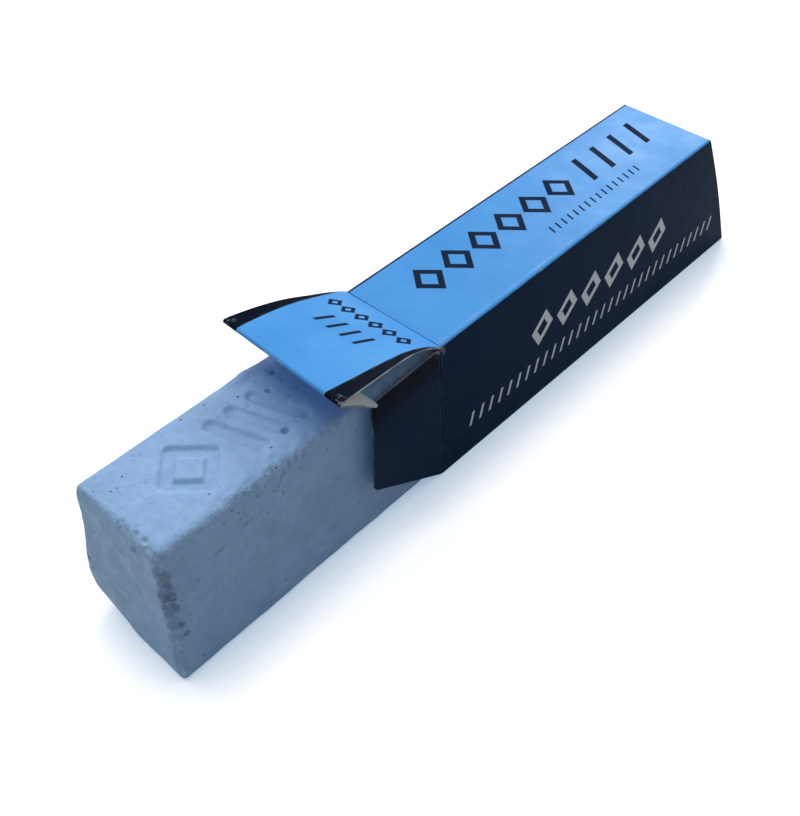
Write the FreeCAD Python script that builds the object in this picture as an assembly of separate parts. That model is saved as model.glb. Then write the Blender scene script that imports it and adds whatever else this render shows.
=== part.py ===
"""Cast bar of buffing compound, pushed most of the way out of its own tuck-end board carton.

Millimetres. The row lies along X: the bar's free end is the -X end and the carton's closed end
is the +X end. Y is across, Z is up. Everything is drawn with the carton's mouth crease at X = 0
and is moved at the end so that the origin is the middle of the underside of the bounding box.
"""
import math
import os

import FreeCAD, Part
from FreeCAD import Vector

# Cast bar
bar_length = 108.0
bar_width_foot = 27.2
bar_side_draft = 1.15        # each long side leans in by this much at the top
bar_height = 36.75
bar_end_draft = 2.6          # each end face leans in by this much at the top
bar_out = 74.8               # from the mouth crease to the foot of the free end
bar_side_shift = 0.45        # the bar lies this far towards the left wall
bar_yaw = -0.15              # degrees
top_edge_round = 2.2
upright_edge_round = 2.4
foot_edge_round = 1.2

# Broken lower corner of the free end, as distances along its three edges
chip_up = 11.0
chip_across = 17.0
chip_back = 9.0

# Plain sunk marks on the bar's top
mark_depth = 1.0
mark_width = 2.6
lozenge_out = 55.0           # its middle, from the mouth crease
lozenge_length = 15.0
lozenge_width = 16.0
stroke_out = 32.5            # the nearest stroke, from the mouth crease
stroke_pitch = 5.5
stroke_count = 3
stroke_length = 14.5
stroke_slant = 18.0          # degrees off the Y direction

# Board and its folds
board = 0.45                 # thickness of the folding board
fold_gap = 0.20              # air left between two layers of board that lie on each other
lap = 0.10                   # overlap used where two pieces of the same sheet are joined
side_room = 0.90             # between the bar's top edges and the carton's walls
head_room = 1.35             # between the bar's top and the carton's top panel

# Carton body
carton_top_length = 108.1    # along the middle of the top panel, mouth crease to end crease
end_lean = 15.6              # the foot of the closed end stands out past its top edge
end_skew = 1.2               # the left end of the end crease lies further out than the right
left_foot_room = 0.45        # the walls lean out with the bar's sides, and by this much more
right_foot_room = 0.10
right_end_spread = 1.5       # the right wall's foot leans out further at the closed end
glue_flap_height = 11.5      # the seam's flap, glued inside the left wall
glue_flap_setback = 1.5      # from the mouth crease
glue_flap_end_gap = 4.0      # from the tip of the end tongue

# Closed end: end panel, its tongue and two dust flaps
end_tongue_length = 14.0
end_tongue_relief = 1.0      # its sides stand in from the walls
end_dust_length = 12.4
end_dust_trim = 1.2          # the dust flaps are cut shorter than the wall, top and bottom

# Open lid and its tongue. Each profile lists (distance out from the crease, rise above it).
lid_left_profile = [(0.0, 0.0), (5.0, 2.4), (9.3, 3.9), (15.0, 5.7), (22.4, 7.3), (29.6, 8.0)]
lid_right_profile = [(0.0, 0.0), (5.0, 3.5), (10.5, 6.0), (17.1, 7.8), (26.0, 9.5), (32.6, 10.3)]
lid_flare = 4.5              # the lid's front corners stand out past the walls
lid_stations = 12            # points along the lid's curve
fold_radius = 0.60           # middle of the board, at the lid's front fold
fold_stations = 6
tongue_left_end = (21.6, 0.9)    # free edge: distance out from the crease, height above it
tongue_right_end = (22.8, 1.2)
tongue_corner = 2.6          # rounding of the tongue's free corners

# Dust flaps at the mouth
dust_length_top = 20.8
dust_length_low = 21.8
dust_low_front = 13.6        # height of the lower front corner
dust_low_start = 4.5         # the lower edge starts to rise this far out
dust_foot = 0.7
dust_top_rise = 0.4          # the upper edge climbs a little towards the front
dust_nick = 0.7              # small slope that clears the lid's crease
dust_opening = 3.0           # degrees outward
dust_corner_top = 1.4
dust_corner_low = 2.2

tool_reach = 1.0             # how far a cutting tool runs past what it cuts
tiny = 1e-3

# Sizes that follow from the ones above
bar_width_top = bar_width_foot - 2 * bar_side_draft
carton_width = bar_width_top + 2 * (side_room + board)
carton_height = bar_height + head_room + 2 * board
half = carton_width / 2
left_spread = bar_side_draft + left_foot_room
right_spread = bar_side_draft + right_foot_room
end_slope = end_lean / carton_height
skew_slope = end_skew / carton_width
square_slope = math.sqrt(1.0 + skew_slope ** 2 + end_slope ** 2)


def end_x(y, z, inset=0.0):
    """X of the closed end's plane at (y, z), moved in by a distance measured square to it."""
    return carton_top_length + skew_slope * y + end_slope * (carton_height - z) - inset * square_slope


def left_y(z):
    """Outside of the left wall, which leans out towards its foot."""
    return half + left_spread * (1.0 - z / carton_height)


def right_y(x, z):
    """Outside of the right wall, whose foot leans out more towards the closed end."""
    run = max(0.0, min(1.0, x / carton_top_length))
    return -half - (right_spread + right_end_spread * run) * (1.0 - z / carton_height)


def ring(points):
    return Part.makePolygon(points + [points[0]])


def side_face(a, b, c, d):
    """Four-cornered face: flat where the corners lie in one plane, otherwise ruled."""
    normal = (b - a).cross(c - a)
    if abs(normal.dot(d - a)) < tiny * normal.Length:
        return Part.Face(ring([a, b, c, d]))
    return Part.makeRuledSurface(Part.makeLine(a, b), Part.makeLine(d, c))


def between(first, last):
    """Solid between two flat outlines with the same number of points."""
    faces = [Part.Face(ring(first)), Part.Face(ring(last))]
    for i in range(len(first)):
        faces.append(side_face(first[i - 1], first[i], last[i], last[i - 1]))
    shell = Part.makeShell(faces)
    shell.sewShape()
    solid = Part.makeSolid(shell)
    return solid if solid.Orientation == "Forward" else between(last, first)


def tube(inset, end_inset, start=0.0):
    """The carton's space as one solid: outer (no inset) or inner (inset by one board)."""
    mouth, end = [], []
    for z, left in ((inset, False), (inset, True), (carton_height - inset, True), (carton_height - inset, False)):
        y0 = left_y(z) - inset if left else right_y(0.0, z) + inset
        y1 = left_y(z) - inset if left else right_y(carton_top_length, z) + inset
        mouth.append(Vector(start, y0, z))
        end.append(Vector(end_x(y1, z, end_inset), y1, z))
    return between(mouth, end)


def end_slab(points, outer, inner):
    """A plate parallel to the closed end: (y, z) outline, between two insets from the end plane."""
    return between([Vector(end_x(y, z, outer), y, z) for y, z in points],
                   [Vector(end_x(y, z, inner), y, z) for y, z in points])


def smooth(points, count):
    """Points along a smooth curve through the given ones."""
    curve = Part.BSplineCurve()
    curve.interpolate([Vector(a, 0, b) for a, b in points])
    first, last = curve.FirstParameter, curve.LastParameter
    values = [curve.value(first + (last - first) * i / (count - 1)) for i in range(count)]
    return [(p.x, p.z) for p in values]


def fold_profile(profile, free_end):
    """Middle line of lid, front fold and tongue, as (distance out, rise)."""
    line = smooth(profile, lid_stations)
    a0, b0 = line[-1]
    a1, b1 = line[-2]
    heading = math.atan2(b0 - b1, a0 - a1)
    centre = (a0 + fold_radius * math.sin(heading), b0 - fold_radius * math.cos(heading))
    down = math.atan2(centre[1] - free_end[1], free_end[0] - centre[0])
    for i in range(1, fold_stations + 1):
        angle = heading + math.pi / 2 - (heading + down) * i / fold_stations
        line.append((centre[0] + fold_radius * math.cos(angle), centre[1] + fold_radius * math.sin(angle)))
    line.append(free_end)
    return line


def lid_side_y(out, profile):
    """Distance from the middle to the lid's side edge, which flares from the crease to the front."""
    return half + lid_flare * out / profile[-1][0]


def sheet_outline(profile, free_end, side):
    """Closed outline of the folded sheet along one of its side edges, in one upright plane."""
    line = fold_profile(profile, free_end)
    level = carton_height - board / 2

    def place(out, z):
        return Vector(-out, side * lid_side_y(out, profile), z)

    outer, inner = [], []
    for i, (a, b) in enumerate(line):
        a0, b0 = line[max(0, i - 1)]
        a1, b1 = line[min(len(line) - 1, i + 1)]
        size = math.hypot(a1 - a0, b1 - b0)
        na, nb = (0.0, 1.0) if i == 0 else (-(b1 - b0) / size, (a1 - a0) / size)
        outer.append(place(a + na * board / 2, level + b + nb * board / 2))
        inner.append(place(a - na * board / 2, level + b - nb * board / 2))
    return [place(-lap, carton_height)] + outer + inner[::-1] + [place(-lap, carton_height - board)]


def make_lid():
    """Lid panel, front fold and tongue as one sheet, with the tongue's free corners rounded."""
    sheet = between(sheet_outline(lid_left_profile, tongue_left_end, 1),
                    sheet_outline(lid_right_profile, tongue_right_end, -1))
    for side, profile, (out, rise) in ((1, lid_left_profile, tongue_left_end),
                                       (-1, lid_right_profile, tongue_right_end)):
        low = carton_height + rise - board - tool_reach
        tall = tongue_corner + 2 * (board + tool_reach)
        wide = tongue_corner + tool_reach
        y = lid_side_y(out, profile)
        block = Part.makeBox(wide, wide, tall, Vector(-out - tongue_corner, y - tongue_corner, low))
        rod = Part.makeCylinder(tongue_corner, tall, Vector(-out - tongue_corner, y - tongue_corner, low))
        corner = block.cut(rod)
        if side < 0:
            corner = corner.mirror(Vector(0, 0, 0), Vector(0, 1, 0))
        sheet = sheet.cut(corner)
    return sheet


def make_dust_flap(side):
    """One mouth dust flap, hinged on the wall's upright crease and opened a few degrees."""
    top = carton_height - board - fold_gap
    outline = [(-lap, dust_foot), (-lap, top - dust_nick), (dust_nick, top), (dust_length_top, top + dust_top_rise),
               (dust_length_low, dust_low_front), (dust_low_start, dust_foot + fold_gap)]
    slope = math.tan(math.radians(dust_opening))
    points = []
    for out, z in outline:
        wall = left_y(z) if side > 0 else right_y(0.0, z)
        points.append(Vector(-out, wall + side * slope * out, z))
    plate = between(points, [p - Vector(0, side * board, 0) for p in points])
    for out, radius in ((dust_length_top, dust_corner_top), (dust_length_low, dust_corner_low)):
        corner = [e for e in plate.Edges if all(abs(v.Point.x + out) < tiny for v in e.Vertexes)]
        plate = plate.makeFillet(radius, corner)
    return plate


def cut_end_slits(shell):
    """Slits that free the end panel from both walls and from the bottom panel."""
    low, high = board, carton_height - board
    x = carton_top_length
    left = [(left_y(low) - board, low), (left_y(low) - board - fold_gap, low),
            (left_y(high) - board - fold_gap, high), (left_y(high) - board, high)]
    right = [(right_y(x, low) + board, low), (right_y(x, low) + board + fold_gap, low),
             (right_y(x, high) + board + fold_gap, high), (right_y(x, high) + board, high)]
    foot = [(left_y(low) - board, low), (right_y(x, low) + board, low),
            (right_y(x, low) + board, low + fold_gap), (left_y(low) - board, low + fold_gap)]
    for outline in (left, right, foot):
        shell = shell.cut(end_slab(outline, -tool_reach, board + lap))
    return shell


def make_end_flaps():
    """Behind the end panel: its tongue along the bottom panel, and a dust flap from each wall."""
    x = carton_top_length
    low, high = board + fold_gap, 2 * board + fold_gap
    left = left_y(low) - board - end_tongue_relief
    right = right_y(x, low) + board + end_tongue_relief
    flaps = [end_slab([(left, low), (left, high), (right, high), (right, low)], lap, end_tongue_length)]

    outer = board + fold_gap
    foot = high + fold_gap + end_dust_trim
    top = carton_height - board - end_dust_trim
    walls = [(left_y(foot) - board + lap, left_y(top) - board + lap, -1),
             (right_y(x, foot) + board - lap, right_y(x, top) + board - lap, 1)]
    for y_foot, y_top, inward in walls:
        reach = inward * (end_dust_length + lap)
        outline = [(y_foot, foot), (y_foot + reach, foot), (y_foot + reach, top), (y_top, top)]
        flaps.append(end_slab(outline, outer, outer + board))
    return flaps


def make_seam():
    """The bottom panel's glued flap, inside the foot of the left wall."""
    start = glue_flap_setback
    end = carton_top_length - end_tongue_length - glue_flap_end_gap
    low, high = board - lap, board + glue_flap_height
    outline = [(left_y(low) - board + lap, low), (left_y(low) - 2 * board, low),
               (left_y(high) - 2 * board, high), (left_y(high) - board + lap, high)]
    return between([Vector(start, y, z) for y, z in outline], [Vector(end, y, z) for y, z in outline])


def make_carton():
    shell = cut_end_slits(tube(0.0, 0.0).cut(tube(board, board, -tool_reach)))
    pieces = [make_lid(), make_dust_flap(1), make_dust_flap(-1), make_seam()] + make_end_flaps()
    return shell.fuse(pieces).removeSplitter()


def corner_chip(corner):
    """Wedge that takes the broken corner off along a flat face through three points."""
    cuts = [corner + Vector(0, 0, chip_up), corner - Vector(0, chip_across, 0), corner + Vector(chip_back, 0, 0)]
    middle = (cuts[0] + cuts[1] + cuts[2]) / 3
    normal = (cuts[1] - cuts[0]).cross(cuts[2] - cuts[0])
    normal.normalize()
    if normal.dot(corner - middle) < 0:
        normal = -normal
    wide = [middle + (p - middle) * 3 for p in cuts]
    return between(wide, [p + normal * (chip_up + chip_across) for p in wide])


def sunk_marks(level):
    """A lozenge outline and a row of slanted strokes, as tools that reach down to one level."""
    rise = Vector(0, 0, mark_depth + tool_reach)
    middle = Vector(-lozenge_out, 0, level)
    outer = [middle + Vector(a * lozenge_length / 2, b * lozenge_width / 2, 0)
             for a, b in ((-1, 0), (0, -1), (1, 0), (0, 1))]
    side = math.hypot(lozenge_length, lozenge_width)
    share = 1.0 - 2 * mark_width * side / (lozenge_length * lozenge_width)
    inner = [middle + (p - middle) * share for p in outer]
    tools = [between(outer, [p + rise for p in outer]).cut(between(inner, [p + rise for p in inner]))]

    radius = mark_width / 2
    run = stroke_length / 2 - radius
    for i in range(stroke_count):
        stroke = Part.makeBox(mark_width, 2 * run, rise.z, Vector(-radius, -run, 0))
        ends = [Part.makeCylinder(radius, rise.z, Vector(0, s * run, 0)) for s in (1, -1)]
        stroke = stroke.fuse(ends).removeSplitter()
        stroke.rotate(Vector(0, 0, 0), Vector(0, 0, 1), stroke_slant)
        stroke.translate(Vector(-stroke_out - i * stroke_pitch, 0, level))
        tools.append(stroke)
    return tools


def make_bar():
    x0, x1 = -bar_out, bar_length - bar_out
    z0, z1 = board, board + bar_height
    foot_y, top_y = bar_width_foot / 2, bar_width_top / 2
    a0, a1 = x0 + bar_end_draft, x1 - bar_end_draft
    foot = [Vector(x0, -foot_y, z0), Vector(x1, -foot_y, z0), Vector(x1, foot_y, z0), Vector(x0, foot_y, z0)]
    top = [Vector(a0, -top_y, z1), Vector(a1, -top_y, z1), Vector(a1, top_y, z1), Vector(a0, top_y, z1)]
    bar = between(foot, top)

    upright = [e for e in bar.Edges if e.BoundBox.ZLength > bar_height / 2]
    bar = bar.makeFillet(upright_edge_round, upright)
    bar = bar.makeFillet(top_edge_round, [e for e in bar.Edges if e.BoundBox.ZMin > z1 - tiny])
    bar = bar.makeFillet(foot_edge_round, [e for e in bar.Edges if e.BoundBox.ZMax < z0 + tiny])

    bar = bar.cut(corner_chip(Vector(x0, foot_y, z0)))
    for tool in sunk_marks(z1 - mark_depth):
        bar = bar.cut(tool)
    bar.rotate(Vector(0, 0, 0), Vector(0, 0, 1), bar_yaw)
    bar.translate(Vector(0, bar_side_shift, 0))
    return bar


def main():
    parts = {"compound_bar": make_bar(), "carton": make_carton()}
    whole = Part.makeCompound(list(parts.values())).optimalBoundingBox(False, False)
    shift = Vector(-(whole.XMin + whole.XMax) / 2, -(whole.YMin + whole.YMax) / 2, -whole.ZMin)
    print("moved by", shift)
    os.makedirs("parts", exist_ok=True)
    for name, shape in parts.items():
        shape.translate(shift)
        if len(shape.Solids) != 1 or not shape.isValid():
            raise SystemExit("%s is not one valid solid" % name)
        shape.Solids[0].exportStep("parts/%s.step" % name)
        box = shape.optimalBoundingBox(False, False)
        print(name, "x %.2f to %.2f, y %.2f to %.2f, z %.2f to %.2f, volume %.1f" % (
            box.XMin, box.XMax, box.YMin, box.YMax, box.ZMin, box.ZMax, shape.Volume))


main()
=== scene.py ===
"""Looks of a bar of buffing compound standing out of its tuck-end board carton.

The shapes are worked out in millimetres in the carton's own layout: the mouth's crease across the top panel
is at x = 0, the closed end lies towards +x, the bar's free end towards -x, the left wall towards +y and the
bench at z = 0. in_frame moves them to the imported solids' frame, in metres.
"""

import math

import bpy
import numpy as np
from mathutils import Matrix, Vector


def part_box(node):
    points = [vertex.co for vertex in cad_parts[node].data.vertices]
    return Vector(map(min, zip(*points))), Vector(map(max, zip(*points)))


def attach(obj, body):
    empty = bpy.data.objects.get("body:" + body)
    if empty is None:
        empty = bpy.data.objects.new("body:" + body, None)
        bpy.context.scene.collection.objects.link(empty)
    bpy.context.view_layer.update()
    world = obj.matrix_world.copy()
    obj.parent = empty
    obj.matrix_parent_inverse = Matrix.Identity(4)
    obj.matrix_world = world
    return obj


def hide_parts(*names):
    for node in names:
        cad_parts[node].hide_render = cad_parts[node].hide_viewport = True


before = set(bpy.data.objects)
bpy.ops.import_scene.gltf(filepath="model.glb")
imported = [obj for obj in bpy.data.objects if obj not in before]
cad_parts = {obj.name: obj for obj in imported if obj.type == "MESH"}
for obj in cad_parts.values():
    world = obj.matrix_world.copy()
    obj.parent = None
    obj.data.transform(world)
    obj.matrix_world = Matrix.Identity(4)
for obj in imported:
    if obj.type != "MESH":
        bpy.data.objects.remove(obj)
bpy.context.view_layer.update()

# The cast bar, in millimetres.
bar_length = 108.0
bar_width = 27.2
bar_height = 36.75
bar_foot = 0.45
bar_out = 74.8
bar_side_draft = 1.15
bar_end_draft = 2.6
bar_side_shift = 0.45
bar_yaw = math.radians(-0.15)
upright_round_left = 1.2
upright_round_right = 2.8
upright_round_foot = 1.1
top_round_left = 2.1
top_round_right = 2.6
foot_round = 0.6
bar_grain = 0.40             # between the surface's points where the bar shows
bar_grain_hidden = 1.3       # the same along the part inside the carton
bar_shown = 79.0             # from the free end

# The facet of the bar's broken lower corner: its reach up, across and back, and how far its top is forward.
broken_up = 7.8
broken_across = 13.4
broken_back = 7.0
broken_forward = 0.9
knocked_depth = 1.45         # of the narrow facet down the free end's right upright edge

# The marks sunk into the bar's top.
mark_depth = 0.62
mark_width = 2.6
mark_wall = 0.8
lozenge_out = 55.0
lozenge_length = 15.0
lozenge_width = 16.0
stroke_out = 32.5
stroke_pitch = 5.5
stroke_count = 3
stroke_length = 14.5
stroke_slant = math.radians(18.0)

# The carton's board and body.
board = 0.45
board_gap = 0.06
carton_width = 27.6
carton_height = 39.0
carton_length = 108.1
end_lean = 15.6
end_skew = 1.2
left_spread = 1.6
right_spread = 1.55
right_end_spread = 1.5
crease_round = 0.55
seam_height = 11.9
end_tongue = 14.0
half = carton_width / 2

# The lid, its front fold and tongue: distance out from the mouth and rise, along each side edge.
lid_left = [(0.0, 0.0), (5.0, 2.3), (9.3, 3.9), (15.0, 5.9), (22.4, 7.6), (29.3, 8.5)]
lid_right = [(0.0, 0.0), (5.0, 3.4), (10.5, 6.0), (17.1, 7.7), (26.0, 9.7), (32.2, 11.1)]
lid_flare = 4.5
fold_radius = 0.36
tongue_left = (21.6, 0.9)
tongue_right = (21.9, 1.9)
tongue_corner = 1.6
tongue_least_reach = 0.86    # the tongue narrows no further than the lid has at this share of its length
lid_fold_travel = 34.6       # along the lid's right edge, crease to front fold
lid_rows = 44
fold_rows = 11
tongue_rows = 21

# The mouth's dust flaps.
flap_top_length = 21.6
flap_low_length = 22.9
flap_low_front = 14.7
flap_low_start = 0.8
flap_foot = 0.6
flap_opening = math.radians(2.4)
flap_corner = 0.9
flap_head_gap = 0.2          # under the top panel's inside
flap_nick = 0.7              # small slope at the crease that clears the lid
flap_top_rise = 0.4
flap_bend = 0.55

# The closed end's dust flaps.
end_flap_length = 12.4
end_flap_foot = 2.6
end_flap_trim = 1.4
lean_depth = 1.08            # a leaning sheet's depth along x, for each millimetre of its thickness

carton_low, carton_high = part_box("carton")
mouth_x = carton_high[0] - (carton_length + end_skew * (half + left_spread) / carton_width + end_lean) / 1000


def in_frame(points):
    """Millimetres of the carton's layout to metres of the solids' frame, shifted along x."""
    return points / 1000 + np.array([mouth_x, 0.0, 0.0])


def soft_step(value):
    """0 below 0, 1 above 1, and 3t^2 - 2t^3 between."""
    t = np.clip(value, 0.0, 1.0)
    return t * t * (3 - 2 * t)


def unevenness(points, size, seed):
    """Smooth value noise from -1 to 1: each corner of a cubic lattice of the given size gets a number made
    from its whole coordinates, and the eight around a point are blended with 3t^2 - 2t^3 along each side."""
    scaled = points / size
    cell = np.floor(scaled).astype(np.int64)
    t = scaled - cell
    t = t * t * (3 - 2 * t)
    total = np.zeros(len(points))
    for corner in ((a, b, c) for a in (0, 1) for b in (0, 1) for c in (0, 1)):
        key = (cell + corner) * np.array([73856093, 19349663, 83492791])
        mixed = (key[:, 0] ^ key[:, 1] ^ key[:, 2] ^ (seed * 668265263)) & 0x7FFFFFFF
        mixed = ((mixed ^ (mixed >> 15)) * 0x2C1B3C6D) & 0x7FFFFFFF
        mixed = ((mixed ^ (mixed >> 12)) * 0x297A2D39) & 0x7FFFFFFF
        mixed = mixed ^ (mixed >> 15)
        weight = np.prod(np.where(corner, t, 1 - t), axis=1)
        total += weight * (mixed / 0x3FFFFFFF - 1.0)
    return total


def steps(start, end, longest):
    """Even steps from start to end, none longer than the given length."""
    count = max(1, math.ceil(abs(end - start) / longest))
    return np.linspace(start, end, count + 1)


def lattice(rows, columns, first=0):
    """Four-cornered faces of a grid whose points are numbered row by row."""
    index = first + np.arange(rows * columns).reshape(rows, columns)
    return np.stack([index[:-1, :-1], index[1:, :-1], index[1:, 1:], index[:-1, 1:]], axis=-1).reshape(-1, 4)


def make_mesh(name, points, faces, marks, finishes, finish_of_face=None):
    """A smooth-shaded piece from arrays: points in the layout's millimetres, faces, and point attributes."""
    mesh = bpy.data.meshes.new(name)
    mesh.from_pydata(in_frame(points), [], faces)
    for label, values in marks.items():
        kind = "FLOAT" if values.ndim == 1 else "FLOAT_VECTOR"
        attribute = mesh.attributes.new(label, kind, "POINT")
        field = "value" if kind == "FLOAT" else "vector"
        attribute.data.foreach_set(field, values.astype(np.float32).ravel())
    for finish in finishes:
        mesh.materials.append(finish)
    if finish_of_face is not None:
        mesh.polygons.foreach_set("material_index", finish_of_face.astype(np.int32))
    mesh.polygons.foreach_set("use_smooth", np.ones(len(faces), dtype=bool))
    mesh.update()
    piece = bpy.data.objects.new(name, mesh)
    bpy.context.scene.collection.objects.link(piece)
    return piece


class Finish:
    """A material built node by node on one Principled shader."""

    def __init__(self, name):
        self.material = bpy.data.materials.new(name)
        self.material.use_nodes = True
        self.nodes = self.material.node_tree.nodes
        self.links = self.material.node_tree.links
        self.shader = self.nodes["Principled BSDF"]

    def put(self, socket, value):
        """Links a socket to a node's output, or sets it to a constant."""
        if isinstance(value, bpy.types.NodeSocket):
            self.links.new(value, socket)
        elif value is not None:
            socket.default_value = value

    def sums(self, operation, first, second=None, third=None):
        node = self.nodes.new("ShaderNodeMath")
        node.operation = operation
        for socket, value in zip(node.inputs, (first, second, third)):
            self.put(socket, value)
        return node.outputs[0]

    def times(self, first, second):
        return self.sums("MULTIPLY", first, second)

    def plus(self, first, second):
        return self.sums("ADD", first, second)

    def minus(self, first, second):
        return self.sums("SUBTRACT", first, second)

    def most(self, first, second):
        return self.sums("MAXIMUM", first, second)

    def size(self, value):
        """The value without its sign."""
        return self.sums("ABSOLUTE", value)

    def place(self):
        return self.nodes.new("ShaderNodeTexCoord").outputs["Object"]

    def mark(self, label, part="Fac"):
        node = self.nodes.new("ShaderNodeAttribute")
        node.attribute_name = label
        return node.outputs[part]

    def parts(self, vector):
        node = self.nodes.new("ShaderNodeSeparateXYZ")
        self.put(node.inputs[0], vector)
        return node.outputs

    def stretched(self, vector, scale, turn=(0.0, 0.0, 0.0)):
        node = self.nodes.new("ShaderNodeMapping")
        self.put(node.inputs["Vector"], vector)
        node.inputs["Rotation"].default_value = turn
        node.inputs["Scale"].default_value = scale
        return node.outputs[0]

    def cloud(self, vector, scale, detail=3.0, roughness=0.55):
        node = self.nodes.new("ShaderNodeTexNoise")
        self.put(node.inputs["Vector"], vector)
        node.inputs["Scale"].default_value = scale
        node.inputs["Detail"].default_value = detail
        node.inputs["Roughness"].default_value = roughness
        return node.outputs["Fac"]

    def cells(self, vector, scale):
        node = self.nodes.new("ShaderNodeTexVoronoi")
        self.put(node.inputs["Vector"], vector)
        node.inputs["Scale"].default_value = scale
        return node.outputs["Distance"], node.outputs["Color"]

    def between(self, value, low, high, to_low=0.0, to_high=1.0):
        """Straight-line change of a value from one range to another, held at the ends."""
        node = self.nodes.new("ShaderNodeMapRange")
        for socket, number in zip(node.inputs, (value, low, high, to_low, to_high)):
            self.put(socket, number)
        return node.outputs[0]

    def blend(self, share, first, second):
        node = self.nodes.new("ShaderNodeMix")
        node.data_type = "RGBA"
        self.put(node.inputs[0], share)
        self.put(node.inputs[6], first)
        self.put(node.inputs[7], second)
        return node.outputs[2]

    def relief(self, height, distance, strength, under=None):
        node = self.nodes.new("ShaderNodeBump")
        node.inputs["Distance"].default_value = distance
        node.inputs["Strength"].default_value = strength
        self.put(node.inputs["Height"], height)
        self.put(node.inputs["Normal"], under)
        return node.outputs[0]

    def done(self, colour, roughness, normal, specular, **constants):
        self.put(self.shader.inputs["Base Color"], colour)
        self.put(self.shader.inputs["Roughness"], roughness)
        self.put(self.shader.inputs["Normal"], normal)
        self.shader.inputs["Specular IOR Level"].default_value = specular
        for label, value in constants.items():
            self.shader.inputs[label].default_value = value
        return self.material


def shade(red, green, blue):
    """A colour as it is seen, 0 to 255, turned into the shader's linear numbers."""
    seen = np.array([red, green, blue]) / 255
    linear = np.where(seen <= 0.04045, seen / 12.92, ((seen + 0.055) / 1.055) ** 2.4)
    return (float(linear[0]), float(linear[1]), float(linear[2]), 1.0)


# Single scratches on the bar's right side: middle x and z, length, angle, bend, width.
side_scratches = [(-44.2, 33.2, 4.6, 52.0, 0.035, 0.30), (-59.2, 28.0, 4.2, 6.0, 0.0, 0.16),
                  (-60.3, 27.5, 3.4, 9.0, 0.02, 0.14), (-53.2, 29.6, 2.0, 20.0, 0.0, 0.16),
                  (-41.0, 35.4, 1.9, 74.0, 0.05, 0.26), (-39.2, 35.6, 1.7, 68.0, 0.05, 0.24),
                  (-42.6, 35.0, 1.6, 80.0, 0.06, 0.24), (-37.4, 35.4, 1.5, 60.0, 0.0, 0.22),
                  (-30.5, 22.0, 7.0, 14.0, 0.01, 0.12), (-34.0, 9.0, 5.0, -12.0, 0.0, 0.12)]


def scratch_line(f, here, x, z, length, angle, bend, width):
    """One scratch in the x and z of the bar's right side. Along it, a runs from its middle, and b is the
    distance off a parabola of the given bend; it fades over its width and towards both ends."""
    spot = f.parts(here)
    across = f.minus(f.times(spot[0], 1000.0), x + mouth_x * 1000)
    up = f.minus(f.times(spot[2], 1000.0), z)
    c, s = math.cos(math.radians(angle)), math.sin(math.radians(angle))
    a = f.plus(f.times(across, c), f.times(up, s))
    b = f.minus(f.times(up, c), f.times(across, s))
    b = f.minus(b, f.times(f.times(a, a), bend))
    thin = f.between(f.size(b), width * 0.4, width, 1.0, 0.0)
    ends = f.between(f.size(a), length * 0.35, length * 0.5, 1.0, 0.0)
    right_side = f.sums("LESS_THAN", spot[1], -0.010)
    return f.times(f.times(thin, ends), right_side)


def pin_holes(f, here):
    """Share of open pin hole at a point: round spots in some cells of a cell pattern, in patches."""
    distance, chance = f.cells(here, 850.0)
    open_hole = f.sums("GREATER_THAN", f.parts(chance)[0], 0.76)
    size = f.times(f.parts(chance)[1], 0.20)
    within = f.between(f.minus(distance, size), -0.04, 0.04, 1.0, 0.0)
    hole = f.times(open_hole, within)
    patch = f.between(f.cloud(here, 62.0, 2.0), 0.48, 0.55)
    return f.times(hole, patch)


def fine_cracks(f, here, broken):
    """Share of crack on the broken faces: thin borders between the cells of a cell pattern, in patches."""
    border = f.nodes.new("ShaderNodeTexVoronoi")
    border.feature = "DISTANCE_TO_EDGE"
    border.inputs["Scale"].default_value = 360.0
    f.put(border.inputs["Vector"], here)
    crack = f.between(border.outputs["Distance"], 0.03, 0.10, 1.0, 0.0)
    torn = f.between(f.cloud(here, 210.0, 2.0), 0.46, 0.58)
    return f.times(crack, f.times(f.between(broken, 0.4, 0.9), torn))


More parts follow.
